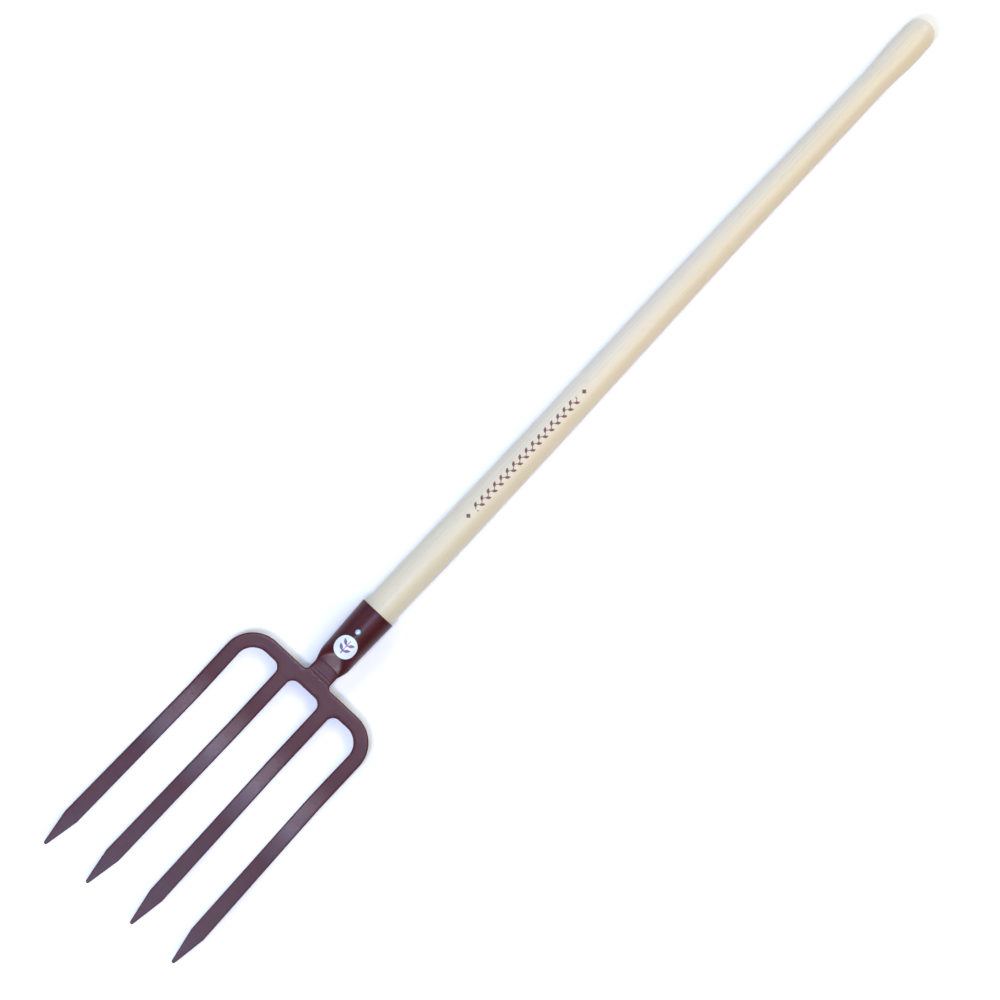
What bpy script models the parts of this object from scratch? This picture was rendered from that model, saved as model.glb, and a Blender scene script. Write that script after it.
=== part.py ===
"""A digging fork: a four-tined steel head, welded to a socket that is riveted to a long wooden handle.

The fork lies on its back on the plane Z = 0, with its front face up. X runs along the
handle, from the points of the tines (-X) to the knob (+X), and Y = 0 is its plane of
symmetry. The origin is on the ground, under the middle of its length.
"""

import math

import bmesh
import bpy

MM = 0.001
GAP = 0.3 * MM  # left between pieces that touch

# Whole fork, along X
LENGTH = 1250 * MM
TIP_X = -LENGTH / 2
END_X = LENGTH / 2

# Head, as seen from the front
HEAD_LENGTH = 318 * MM  # from the points to the edge that the foot treads on
TREAD_X = TIP_X + HEAD_LENGTH
BAR_DEPTH = 15.8 * MM
SLOT_X = TREAD_X - BAR_DEPTH
HEAD_HALF_WIDTH = 93.8 * MM
SHOULDER_RADIUS = 36.5 * MM
SLOT_RADIUS = 9.2 * MM
TINE_WIDTH = 16.2 * MM
TINE_FLARE = 0.0048  # growth of a tine's width, per metre, below the start of the splay
OUTER_TINE_Y = HEAD_HALF_WIDTH - TINE_WIDTH / 2
INNER_TINE_Y = 28.6 * MM
OUTER_SPLAY = 0.0226  # sideways run of a tine's middle line, per metre
INNER_SPLAY = 0.0125
SPLAY_X = TIP_X + 220 * MM
POINT_X = TIP_X + 39 * MM
TIP_RADIUS = 2 * MM

# Neck and weld
NECK_WIDTH = 29.4 * MM
NECK_FILLET = 5 * MM
NECK_EDGE = 2.1 * MM  # how far in the rounding of the neck's long edges reaches
NECK_EDGE_DEPTH = 0.78  # depth of that rounding, as a share of half the neck's thickness
WELD_X = TREAD_X + 5.4 * MM
WELD_PREP = 1.6 * MM  # width of the bevel on each side of the weld
CREASE_X = TREAD_X + 19.4 * MM
NECK_START_X = CREASE_X - 4.4 * MM  # where the neck reaches its full narrowness

# Head, from the side
PLATE_THICKNESS = 6 * MM
TIP_THICKNESS = 3 * MM
EDGE_ROUNDING = 0.25  # radius of the plate's edges, as a share of its thickness
BEND_TOP_X = TIP_X + 250 * MM
BEND_LOW_X = TIP_X + 140 * MM
NECK_SLOPE = math.tan(math.radians(10.5))
TINE_SLOPE = -math.tan(math.radians(5))

# Socket
MOUTH_X = CREASE_X + 74.8 * MM
MOUTH_RADIUS = 20.6 * MM
SHANK_RADIUS = 18.75 * MM  # of the tube's lower end
SHANK_X = CREASE_X + 15.6 * MM  # where the tube begins to widen to its mouth
WALL = 2 * MM
MOUTH_ROUNDING = 0.7 * MM
PRESS_X = CREASE_X + 26 * MM  # where the round tube begins to be pressed flat
PRESS_EASE = 0.5  # share of the pressed slope that eases out of the round tube
LEVEL_X = CREASE_X - 1.4 * MM  # from here to the tube's lower end, the pressed face gets narrower
NARROW_X = CREASE_X + 9.6 * MM  # where the shoulders begin to narrow to the neck
BORE_END_X = CREASE_X + 22 * MM

# Handle
HANDLE_START_X = BORE_END_X + 3 * MM
SWELL_X = MOUTH_X + 84 * MM
WAIST_X = END_X - 84 * MM
KNOB_X = END_X - 42 * MM
KNOB_END_LENGTH = 21 * MM
SWELL_RADIUS = 18.7 * MM
WAIST_RADIUS = 14.65 * MM
KNOB_RADIUS = 17 * MM
KNOB_POWER = 2.3  # bluntness of the knob's end: 2 is half an ellipsoid

# Rivet and label
RIVET_X = MOUTH_X - 28.8 * MM
RIVET_Y = 2 * MM
RIVET_RADIUS = 2.4 * MM
RIVET_HEAD_RADIUS = 3.5 * MM
RIVET_HEAD_HEIGHT = 1.7 * MM
LABEL_X = MOUTH_X - 49 * MM
LABEL_Y = 1 * MM
LABEL_RADIUS = 12.9 * MM
LABEL_SHORTENING = 0.975  # along X, as the label's lower part leans down the pressed face
LABEL_THICKNESS = 0.25 * MM

ROUND_STEPS = 48  # around the socket and the handle


# ---------------------------------------------------------------- shapes as formulas


def smooth(u):
    """Runs from 0 to 1 with level ends."""
    u = min(max(u, 0), 1)
    return u * u * (3 - 2 * u)


def share(x, start, end):
    """How far x is from start to end, from 0 to 1."""
    return min(max((x - start) / (end - start), 0), 1)


def steps(start, end, count):
    """Evenly spaced values, both ends included."""
    return [start + (end - start) * i / count for i in range(count + 1)]


def around(count):
    """Angles all the way round, evenly spaced, on both sides of 0."""
    return [math.tau * (i + 0.5) / count for i in range(count)]


def arc(centre_x, centre_y, radius, start_deg, end_deg, count):
    angles = [math.radians(a) for a in steps(start_deg, end_deg, count)]
    return [(centre_x + radius * math.cos(a), centre_y + radius * math.sin(a)) for a in angles]


def thickness(x):
    """The plate keeps its thickness down to the bend, then tapers to the points."""
    return TIP_THICKNESS + (PLATE_THICKNESS - TIP_THICKNESS) * share(x, TIP_X, BEND_TOP_X)


def bent_height(x):
    """Side view of the plate's middle: two straight runs joined by an even bend."""
    run = BEND_TOP_X - BEND_LOW_X
    into_bend = min(max(BEND_TOP_X - x, 0), run)
    bend = (NECK_SLOPE - TINE_SLOPE) * into_bend**2 / (2 * run)
    below = max(BEND_LOW_X - x, 0)
    return NECK_SLOPE * (x - BEND_TOP_X) + bend + (NECK_SLOPE - TINE_SLOPE) * below


BELLY_HEIGHT = min(bent_height(x) - thickness(x) / 2 for x in steps(BEND_LOW_X, BEND_TOP_X, 40))


def plate_z(x):
    """Height of the plate's middle above the ground that the tines' bellies rest on."""
    return bent_height(x) - BELLY_HEIGHT


def axis_z(x):
    """The straight middle line of socket and handle: from the neck to the knob, which rests on the ground."""
    neck_z = plate_z(CREASE_X)
    rest_x = END_X - KNOB_END_LENGTH
    return neck_z + (KNOB_RADIUS - neck_z) * (x - CREASE_X) / (rest_x - CREASE_X)


def socket_radius(x):
    return SHANK_RADIUS + (MOUTH_RADIUS - SHANK_RADIUS) * share(x, SHANK_X, MOUTH_X)


def bore_radius(x):
    return socket_radius(x) - WALL


def socket_half_width(x):
    """Half of the socket's width: full down to the shoulders, then narrowing to the neck."""
    narrowing = smooth(share(x, NARROW_X, NECK_START_X))
    return socket_radius(x) + (NECK_WIDTH / 2 - socket_radius(x)) * narrowing


def socket_half_height(x):
    """Half of the socket's height: round down to the pressed slope, which falls to the flat neck."""
    down = share(x, PRESS_X, CREASE_X)
    eased = down**2 / (2 * PRESS_EASE) if down < PRESS_EASE else down - PRESS_EASE / 2
    return socket_radius(x) + (PLATE_THICKNESS / 2 - socket_radius(x)) * eased / (1 - PRESS_EASE / 2)


def section_height(x, y, half_height):
    """Height of a socket section above its middle at y.

    Its top is level, then turns down to the sides as part of an ellipse. That part is narrow at the
    neck and takes in the whole width at the tube's lower end.
    """
    edge = NECK_EDGE + (socket_radius(x) - NECK_EDGE) * share(x, LEVEL_X, SHANK_X)
    depth = NECK_EDGE_DEPTH + (1 - NECK_EDGE_DEPTH) * share(x, NECK_START_X, CREASE_X)
    turned = max(abs(y) - (socket_half_width(x) - edge), 0) / edge
    return half_height * (1 - depth * (1 - math.sqrt(max(1 - turned**2, 0))))


def handle_radius(x):
    """Turned profile: a tapered end, a slight swell, a long taper to the waist, and a knob."""
    if x <= MOUTH_X:
        return bore_radius(x) - GAP
    if x <= SWELL_X:
        start = bore_radius(MOUTH_X) - GAP
        return start + (SWELL_RADIUS - start) * smooth(share(x, MOUTH_X, SWELL_X))
    if x <= WAIST_X:
        return SWELL_RADIUS + (WAIST_RADIUS - SWELL_RADIUS) * share(x, SWELL_X, WAIST_X)
    if x <= END_X - KNOB_END_LENGTH:
        return WAIST_RADIUS + (KNOB_RADIUS - WAIST_RADIUS) * smooth(share(x, WAIST_X, KNOB_X))
    over_end = share(x, END_X - KNOB_END_LENGTH, END_X)
    return KNOB_RADIUS * (1 - over_end**KNOB_POWER) ** (1 / KNOB_POWER)


# ---------------------------------------------------------------- making objects


def clear_scene():
    for item in list(bpy.data.objects):
        bpy.data.objects.remove(item)


def material(name, colour, roughness, metallic=0.0):
    made = bpy.data.materials.new(name)
    made.use_nodes = True
    shader = made.node_tree.nodes["Principled BSDF"]
    shader.inputs["Base Color"].default_value = (*colour, 1)
    shader.inputs["Roughness"].default_value = roughness
    shader.inputs["Metallic"].default_value = metallic
    return made


def add_object(name, form, finish, sharp_deg=None):
    """Makes a named object of a bmesh. A round one is shaded smooth, up to its sharp edges."""
    bmesh.ops.recalc_face_normals(form, faces=form.faces)
    mesh = bpy.data.meshes.new(name)
    form.to_mesh(mesh)
    form.free()
    mesh.materials.append(finish)
    if sharp_deg:
        mesh.shade_smooth()
        mesh.set_sharp_from_angle(angle=math.radians(sharp_deg))
    made = bpy.data.objects.new(name, mesh)
    bpy.context.scene.collection.objects.link(made)
    return made


def loft(rings):
    """A closed skin over rings with equal counts of points, with a flat cap on each end."""
    form = bmesh.new()
    loops = [[form.verts.new(point) for point in ring] for ring in rings]
    for near, far in zip(loops, loops[1:]):
        for i in range(len(near)):
            form.faces.new((near[i - 1], near[i], far[i], far[i - 1]))
    form.faces.new(loops[0])
    form.faces.new(loops[-1])
    form.normal_update()
    return form


def round_ring(x, radius):
    """A circle about the middle line of socket and handle."""
    return [(x, radius * math.cos(a), axis_z(x) + radius * math.sin(a)) for a in around(ROUND_STEPS)]


def cut(target, cutter):
    """Takes the cutter's shape out of the target."""
    cutter.hide_render = True
    cutter.display_type = "WIRE"
    modifier = target.modifiers.new("cut_" + cutter.name, "BOOLEAN")
    modifier.operation = "DIFFERENCE"
    modifier.object = cutter


# ---------------------------------------------------------------- the fork plate


def tine_edge(x, root_y, splay, side):
    """Where one edge of a tine is: side is 1 for its outer edge and -1 for its inner edge."""
    down = max(SPLAY_X - x, 0)
    return root_y + splay * down + side * (TINE_WIDTH + TINE_FLARE * down) / 2


def tine_outline(root_y, splay):
    """Down a tine's outer edge, round its tip, and back up its inner edge."""
    stations = steps(BEND_TOP_X, BEND_LOW_X, 10) + [POINT_X]
    tip_y = tine_edge(TIP_X, root_y, splay, 0)
    taper = math.degrees(math.atan((TINE_WIDTH / 2 - TIP_RADIUS) / (POINT_X - TIP_X)))
    tip = arc(TIP_X + TIP_RADIUS, tip_y, TIP_RADIUS, 90 + taper, 270 - taper, 6)
    down = [(x, tine_edge(x, root_y, splay, 1)) for x in stations]
    up = [(x, tine_edge(x, root_y, splay, -1)) for x in reversed(stations)]
    return down + tip + up


def half_outline():
    """The plate's outline from the end of its neck to the root of the centre slot, for Y > 0."""
    neck_y = NECK_WIDTH / 2
    shoulder_x = TREAD_X - SHOULDER_RADIUS
    shoulder_y = HEAD_HALF_WIDTH - SHOULDER_RADIUS
    slot_shoulder_radius = SHOULDER_RADIUS - BAR_DEPTH
    slot_corner_x = SLOT_X - SLOT_RADIUS
    inner_edge = INNER_TINE_Y + TINE_WIDTH / 2
    centre_edge = INNER_TINE_Y - TINE_WIDTH / 2
    fillet = arc(TREAD_X + NECK_FILLET, neck_y + NECK_FILLET, NECK_FILLET, 270, 180, 4)
    points = [(WELD_X - GAP / 2, neck_y)] + fillet
    points += arc(shoulder_x, shoulder_y, SHOULDER_RADIUS, 0, 90, 9)
    points += tine_outline(OUTER_TINE_Y, OUTER_SPLAY)
    points += arc(shoulder_x, shoulder_y, slot_shoulder_radius, 90, 0, 7)
    points += arc(slot_corner_x, inner_edge + SLOT_RADIUS, SLOT_RADIUS, 0, -90, 5)
    points += tine_outline(INNER_TINE_Y, INNER_SPLAY)
    points += arc(slot_corner_x, centre_edge - SLOT_RADIUS, SLOT_RADIUS, 90, 0, 5)
    return points


def inset(loop, distances):
    """Moves each point of a counter-clockwise loop inwards, each of its two edges by its distance."""
    moved = []
    for i, (x, y) in enumerate(loop):
        before, after = loop[i - 1], loop[(i + 1) % len(loop)]
        in_dir = unit(x - before[0], y - before[1])
        out_dir = unit(after[0] - x, after[1] - y)
        normal = unit(-in_dir[1] - out_dir[1], in_dir[0] + out_dir[0])
        mitre = distances[i] / (normal[0] * -in_dir[1] + normal[1] * in_dir[0])
        moved.append((x + normal[0] * mitre, y + normal[1] * mitre))
    return moved


def unit(x, y):
    length = math.hypot(x, y)
    return x / length, y / length


def plate_layer(outline, turn, side):
    """One level of the flat plate: turn runs from its upright wall (0) to its flat face (90 degrees).

    Z is the level as a share of the thickness, from -0.5 on the back to 0.5 on the front.
    """
    lean = math.sin(math.radians(turn))
    drawn_in = EDGE_ROUNDING * (1 - math.cos(math.radians(turn)))
    level = side * (0.5 - EDGE_ROUNDING + EDGE_ROUNDING * lean)
    rounded = inset(outline, [drawn_in * thickness(x) for x, _ in outline])
    layer = []
    for (plan_x, _), (x, y) in zip(outline, rounded):
        if plan_x > WELD_X - GAP:
            x = plan_x - WELD_PREP * lean
        layer.append((x, y, level))
    return layer


def make_fork_plate(finish):
    """Four tines, the bar that joins them and the stub of the neck, cut and forged from one plate."""
    half = half_outline()
    outline = half + [(x, -y) for x, y in reversed(half)]
    turns = (90, 45, 0)
    rings = [plate_layer(outline, turn, -1) for turn in turns]
    rings += [plate_layer(outline, turn, 1) for turn in reversed(turns)]
    form = loft(rings)
    bmesh.ops.triangulate(form, faces=[face for face in form.faces if len(face.verts) > 4])
    for vert in form.verts:
        vert.co.z = plate_z(vert.co.x) + vert.co.z * thickness(vert.co.x)
    return add_object("fork_plate", form, finish, sharp_deg=50)


# ---------------------------------------------------------------- the socket and its weld


def socket_ring(x, half_height):
    """A section of the socket, whose points face those of a round ring."""
    half_width = socket_half_width(x)
    middle_z = axis_z(x) if x > CREASE_X else plate_z(x)
    ring = []
    for turn in around(ROUND_STEPS):
        y = half_width * math.cos(turn)
        rise = section_height(x, y, half_height)
        ring.append((x, y, middle_z + math.copysign(rise, math.sin(turn))))
    return ring


def make_socket(finish):
    """The tube that holds the handle, pressed flat at its lower end into a neck for the weld."""
    weld_end = WELD_X + GAP / 2
    half_plate = PLATE_THICKNESS / 2
    lip = MOUTH_ROUNDING
    rings = [socket_ring(weld_end, half_plate * (1 - 2 * EDGE_ROUNDING))]
    rings += [socket_ring(x, half_plate) for x in [weld_end + WELD_PREP] + steps(NECK_START_X, CREASE_X, 3)]
    rings += [socket_ring(x, socket_half_height(x)) for x in steps(CREASE_X, PRESS_X, 14)[1:]]
    rings += [round_ring(x, socket_radius(x)) for x in steps(PRESS_X, MOUTH_X - lip, 3)[1:]]
    rings += [
        round_ring(MOUTH_X - lip * (1 - math.sin(a)), MOUTH_RADIUS - lip * (1 - math.cos(a)))
        for a in (math.pi / 4, math.pi / 2)
    ]
    rings += [round_ring(x, bore_radius(x)) for x in (MOUTH_X, (MOUTH_X + BORE_END_X) / 2, BORE_END_X)]
    return add_object("handle_socket", loft(rings), finish, sharp_deg=35)


def make_weld(name, side, finish):
    """A bead that fills the groove between plate and socket: side is 1 in front and -1 behind."""
    clear = GAP * 1.25
    depth = PLATE_THICKNESS * EDGE_ROUNDING - clear
    half_width = WELD_PREP * depth / (PLATE_THICKNESS * EDGE_ROUNDING)
    crown = 0.35 * MM
    half_length = NECK_WIDTH / 2 - 1.2 * MM
    section = [(0, -depth), (half_width, 0)]
    section += [(half_width * math.cos(a), crown * math.sin(a)) for a in steps(0, math.pi, 6)[1:-1]]
    section += [(-half_width, 0)]
    rings = []
    for y in steps(-half_length, half_length, 6):
        fullness = 1 - 0.5 * abs(y / half_length) ** 6
        ring = []
        for along, up in section:
            x = WELD_X + along * fullness
            ring.append((x, y, plate_z(x) + side * (PLATE_THICKNESS / 2 + up * fullness)))
        rings.append(ring)
    return add_object(name, loft(rings), finish, sharp_deg=50)


# ---------------------------------------------------------------- the handle, rivet and label


def make_handle(finish):
    """A straight turned shaft whose tapered end sits in the socket and whose far end is a knob."""
    stations = steps(HANDLE_START_X, MOUTH_X, 3)
    stations += steps(MOUTH_X, SWELL_X, 5)[1:]
    stations += steps(SWELL_X, WAIST_X, 5)[1:]
    stations += steps(WAIST_X, KNOB_X, 9)[1:]
    stations += [
        END_X - KNOB_END_LENGTH * (1 - math.sin(a)) for a in steps(0, math.radians(84), 8)
    ]
    return add_object("wooden_handle", loft([round_ring(x, handle_radius(x)) for x in stations]), finish, 60)


def upright_cylinder(name, radius, half_height, finish):
    """A cylinder along Z where the rivet goes, long enough to cut through socket and handle."""
    middle_z = axis_z(RIVET_X)
    ring = [(RIVET_X + radius * math.cos(a), RIVET_Y + radius * math.sin(a)) for a in around(16)]
    form = loft([[(x, y, middle_z + z) for x, y in ring] for z in (-half_height, half_height)])
    return add_object(name, form, finish)


def make_rivet(finish):
    """A rivet through both walls of the socket and the handle, with a domed head at each end."""
    seat = socket_radius(RIVET_X) + GAP
    dome = [
        (RIVET_HEAD_RADIUS * math.cos(a), seat + RIVET_HEAD_HEIGHT * math.sin(a))
        for a in steps(0, math.radians(75), 5)
    ]
    upper = [(RIVET_RADIUS, seat)] + dome
    profile = [(r, -z) for r, z in reversed(upper)] + upper
    middle_z = axis_z(RIVET_X)
    rings = [
        [(RIVET_X + r * math.cos(a), RIVET_Y + r * math.sin(a), middle_z + z) for a in around(16)]
        for r, z in profile
    ]
    return add_object("socket_rivet", loft(rings), finish, sharp_deg=40)


def make_label(finish):
    """A round sticker wrapped on the front of the socket."""
    form = bmesh.new()
    rims = []
    for lift in (GAP, GAP + LABEL_THICKNESS):
        centre = form.verts.new(on_socket(0, 0, lift))
        rings = [
            [form.verts.new(on_socket(reach, turn, lift)) for turn in around(32)]
            for reach in steps(LABEL_RADIUS / 6, LABEL_RADIUS, 5)
        ]
        for i in range(len(rings[0])):
            form.faces.new((rings[0][i - 1], rings[0][i], centre))
        for near, far in zip(rings, rings[1:]):
            bridge(form, near, far)
        rims.append(rings[-1])
    bridge(form, *rims)
    form.normal_update()
    return add_object("round_label", form, finish, sharp_deg=50)


def on_socket(reach, turn, lift):
    """A point of a disc laid round the socket, lifted off its surface."""
    x = LABEL_X + LABEL_SHORTENING * reach * math.cos(turn)
    lean = (LABEL_Y + reach * math.sin(turn)) / socket_radius(x)
    y = socket_radius(x) * math.sin(lean)
    rise = section_height(x, y, socket_half_height(x))
    return x, y + lift * math.sin(lean), axis_z(x) + rise + lift * math.cos(lean)


def bridge(form, near, far):
    for i in range(len(near)):
        form.faces.new((near[i - 1], near[i], far[i], far[i - 1]))


def main():
    clear_scene()
    paint = material("plum_paint", (0.105, 0.062, 0.092), 0.42)
    socket_paint = material("plum_paint_socket", (0.075, 0.03, 0.048), 0.4)
    weld_paint = material("plum_paint_weld", (0.125, 0.075, 0.105), 0.42)
    back_weld_paint = material("plum_paint_back_weld", (0.125, 0.075, 0.105), 0.42)
    wood = material("pale_wood", (0.78, 0.69, 0.54), 0.55)
    zinc = material("zinc", (0.72, 0.78, 0.85), 0.25, 1.0)
    vinyl = material("white_vinyl", (0.82, 0.86, 0.9), 0.35)
    cutter_grey = material("cutter", (0.5, 0.5, 0.5), 0.5)

    make_fork_plate(paint)
    socket = make_socket(socket_paint)
    make_weld("neck_weld_front", 1, weld_paint)
    make_weld("neck_weld_back", -1, back_weld_paint)
    handle = make_handle(wood)
    hole = upright_cylinder("rivet_hole", RIVET_RADIUS + GAP, 2 * MOUTH_RADIUS, cutter_grey)
    cut(socket, hole)
    cut(handle, hole)
    make_rivet(zinc)
    make_label(vinyl)


main()
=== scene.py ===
"""The looks of a digging fork that lies on its back, front face up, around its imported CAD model.

X runs along the handle from the points of the tines to the knob, Y across the head, Z up.
Everything is in metres, in the CAD model's frame.
"""

import math

import bmesh
import bpy
import numpy as np
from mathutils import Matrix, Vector, noise
from mathutils.geometry import delaunay_2d_cdt


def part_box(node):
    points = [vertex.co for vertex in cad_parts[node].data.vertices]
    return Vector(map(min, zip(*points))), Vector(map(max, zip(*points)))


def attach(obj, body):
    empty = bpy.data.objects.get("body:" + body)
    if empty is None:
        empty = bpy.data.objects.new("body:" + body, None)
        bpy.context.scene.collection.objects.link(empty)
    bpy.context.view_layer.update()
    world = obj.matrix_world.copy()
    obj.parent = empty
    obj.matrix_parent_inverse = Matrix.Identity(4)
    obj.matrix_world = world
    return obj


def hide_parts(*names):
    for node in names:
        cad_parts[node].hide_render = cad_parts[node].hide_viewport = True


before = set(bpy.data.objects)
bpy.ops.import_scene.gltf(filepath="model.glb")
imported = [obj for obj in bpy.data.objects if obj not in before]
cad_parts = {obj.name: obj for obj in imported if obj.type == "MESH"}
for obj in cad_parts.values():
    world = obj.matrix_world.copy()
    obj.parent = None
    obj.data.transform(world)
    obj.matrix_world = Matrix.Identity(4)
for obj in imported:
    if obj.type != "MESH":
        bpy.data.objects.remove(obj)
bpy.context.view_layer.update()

MM = 0.001

# ---------------------------------------------------------------- sizes, the same as the CAD model's

TIP_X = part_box("fork_plate")[0].x
END_X = -TIP_X
TREAD_X = TIP_X + 318 * MM
BAR_DEPTH = 15.8 * MM  # along the fork, from the tread to the roots of the slots
HEAD_HALF_WIDTH = 93.8 * MM
SHOULDER_RADIUS = 36.5 * MM
SLOT_RADIUS = 9.2 * MM  # of the slots' corners
TINE_WIDTH = 16.2 * MM
TINE_FLARE = 0.0048  # how much wider a tine gets for each length towards its point
TINES = ((HEAD_HALF_WIDTH - TINE_WIDTH / 2, 0.0226), (28.6 * MM, 0.0125))  # place and splay, outer first
SPLAY_X = TIP_X + 220 * MM  # from here down the tines spread and widen
POINT_X = TIP_X + 39 * MM  # from here down they narrow to their points
TIP_RADIUS = 2 * MM

NECK_WIDTH = 29.4 * MM
NECK_FILLET = 5 * MM
NECK_EDGE = 2.1 * MM  # width of the rounding along the neck's sides
NECK_EDGE_DEPTH = 0.78  # how much of the half thickness that rounding takes
WELD_X = TREAD_X + 5.4 * MM
WELD_PREP = 1.6 * MM  # how far the bevels for the weld run back
CREASE_X = TREAD_X + 19.4 * MM
NECK_START_X = CREASE_X - 4.4 * MM  # from here down the width is even

PLATE_THICKNESS = 6 * MM
TIP_THICKNESS = 3 * MM
EDGE_ROUNDING = 0.25  # of the plate's edges, as a share of its thickness
BEND_TOP_X = TIP_X + 250 * MM
BEND_LOW_X = TIP_X + 140 * MM
NECK_SLOPE = math.tan(math.radians(10.5))
TINE_SLOPE = -math.tan(math.radians(5))

MOUTH_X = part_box("handle_socket")[1].x
MOUTH_RADIUS = 20.6 * MM
SHANK_RADIUS = 18.75 * MM
SHANK_X = CREASE_X + 15.6 * MM  # from here up the radius grows evenly to the mouth
WALL = 2 * MM
MOUTH_ROUNDING = 0.7 * MM
PRESS_X = CREASE_X + 26 * MM  # from here up the tube is round, and below it is pressed flatter
PRESS_EASE = 0.5  # share of the pressed length that eases into the round tube
LEVEL_X = CREASE_X - 1.4 * MM  # from here up the level part between the rounded sides narrows
NARROW_X = CREASE_X + 9.6 * MM  # from here down the socket narrows to the neck
BORE_END_X = CREASE_X + 22 * MM

HANDLE_START_X = BORE_END_X + 3 * MM
SWELL_X = MOUTH_X + 84 * MM  # the handle's thickest place
WAIST_X = END_X - 84 * MM  # its thinnest
KNOB_X = END_X - 42 * MM  # from here up the knob has its full radius
KNOB_END_LENGTH = 21 * MM
SWELL_RADIUS = 18.7 * MM
WAIST_RADIUS = 14.65 * MM
KNOB_RADIUS = 17 * MM
KNOB_POWER = 2.3  # the knob's end is a little blunter than a ball, which has 2
FIT = 0.3 * MM  # clearance between the handle's hidden end and the bore

RIVET_X = MOUTH_X - 28.8 * MM
RIVET_Y = 2 * MM
LABEL_X = MOUTH_X - 49 * MM
LABEL_Y = 1 * MM
LABEL_RADIUS = 12.9 * MM
LABEL_SHORTENING = 0.975  # the label is slightly shorter along the fork than across it

# ---------------------------------------------------------------- what the CAD model leaves out

CREASE_EASE = 0.6 * MM  # the fold above the neck is rounded over this length on both sides
CREASE_BOW = 2.3 * MM  # how far the fold's ends sag towards the points
CREASE_BOW_Y = 13 * MM  # from here outwards the sag is full
FORGE_WAVE = 0.1 * MM  # unevenness that forging leaves on the plate
TURNING_WAVE = 0.07 * MM  # unevenness that turning leaves on the handle
SOCKET_LEAN = 0.8 * MM  # to the side, at its mouth
SWAY = 0.5 * MM  # of the handle, to each side
SWAY_X = 145 * MM  # where the sway crosses the middle line
SWAY_PITCH = 560 * MM  # length of one whole wave
WELD_OVERLAP = 0.7 * MM  # how far a bead runs past its groove on both sides
WELD_STOP = 1.2 * MM  # how far it stops short of the neck's edges
WELD_CROWN = 0.04 * MM
WELD_SINK = 0.02 * MM  # of a bead's edges below the faces beside them
RIVET_HEAD_RADIUS = 3.1 * MM
RIVET_HEAD_HEIGHT = 1.7 * MM
RIVET_SHANK_RADIUS = 2.4 * MM
RIVET_SINK = 0.25 * MM  # of a head's rim below the socket's highest line, because the tube is round
LABEL_THICKNESS = 0.3 * MM
LABEL_LIFT = 0.02 * MM  # off the socket
LABEL_MIDDLE = 0.6 * MM  # radius of the flat patch at the label's middle

# ---------------------------------------------------------------- fineness of the meshes

EDGE_STEPS = 6  # across each rounded edge of the plate
GRID = 2.6 * MM  # spacing of the points on the plate's faces
ROUND_STEPS = 144  # around the socket
HANDLE_STEPS = 80  # around the handle
RIVET_STEPS = 48  # around the rivet
LABEL_STEPS = 96  # around the label


# ---------------------------------------------------------------- shapes as formulas


def smooth(u):
    """Runs from 0 to 1 with level ends."""
    u = min(max(u, 0), 1)
    return u * u * (3 - 2 * u)


def share(x, start, end):
    """How far x is from start to end, from 0 to 1."""
    return min(max((x - start) / (end - start), 0), 1)


def steps(start, end, count):
    """Evenly spaced values, both ends included."""
    return [start + (end - start) * i / count for i in range(count + 1)]


def around(count):
    """Angles all the way round, evenly spaced, on both sides of 0."""
    return [math.tau * (i + 0.5) / count for i in range(count)]


def arc(centre_x, centre_y, radius, start_deg, end_deg, count):
    """Points along a circle's arc."""
    angles = [math.radians(a) for a in steps(start_deg, end_deg, count)]
    return [(centre_x + radius * math.cos(a), centre_y + radius * math.sin(a)) for a in angles]


def thickness(x):
    """The plate's thickness, which falls towards the points of the tines."""
    return TIP_THICKNESS + (PLATE_THICKNESS - TIP_THICKNESS) * share(x, TIP_X, BEND_TOP_X)


def bent_height(x):
    """Side view of the plate's middle: two straight runs joined by an even bend."""
    run = BEND_TOP_X - BEND_LOW_X
    into_bend = min(max(BEND_TOP_X - x, 0), run)
    bend = (NECK_SLOPE - TINE_SLOPE) * into_bend**2 / (2 * run)
    below = max(BEND_LOW_X - x, 0)
    return NECK_SLOPE * (x - BEND_TOP_X) + bend + (NECK_SLOPE - TINE_SLOPE) * below


BELLY_HEIGHT = min(bent_height(x) - thickness(x) / 2 for x in steps(BEND_LOW_X, BEND_TOP_X, 40))


def plate_z(x):
    """Height of the plate's middle when the lowest point of the bend is on the ground."""
    return bent_height(x) - BELLY_HEIGHT


def axis_z(x):
    """The straight middle line of socket and handle."""
    neck_z = plate_z(CREASE_X)
    rest_x = END_X - KNOB_END_LENGTH
    return neck_z + (KNOB_RADIUS - neck_z) * (x - CREASE_X) / (rest_x - CREASE_X)


def socket_radius(x):
    """The socket's outer radius where it is round."""
    return SHANK_RADIUS + (MOUTH_RADIUS - SHANK_RADIUS) * share(x, SHANK_X, MOUTH_X)


def bore_radius(x):
    return socket_radius(x) - WALL


def socket_half_width(x):
    """Full down to the shoulders, then narrowing to the neck."""
    narrowing = smooth(share(x, NARROW_X, NECK_START_X))
    return socket_radius(x) + (NECK_WIDTH / 2 - socket_radius(x)) * narrowing


def socket_half_height(x):
    """Round down to the pressed slope, which falls to a rounded fold at the flat neck."""
    half_plate = PLATE_THICKNESS / 2
    steepness = (socket_radius(x) - half_plate) / (PRESS_X - CREASE_X) / (1 - PRESS_EASE / 2)
    above_fold = x - CREASE_X
    if above_fold < -CREASE_EASE:
        return half_plate
    if above_fold < CREASE_EASE:
        return half_plate + steepness * (above_fold + CREASE_EASE) ** 2 / (4 * CREASE_EASE)
    ease_length = PRESS_EASE * (PRESS_X - CREASE_X)
    to_round = max(PRESS_X - x, 0)
    if to_round < ease_length:
        return socket_radius(x) - steepness * to_round**2 / (2 * ease_length)
    return half_plate + steepness * above_fold


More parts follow.
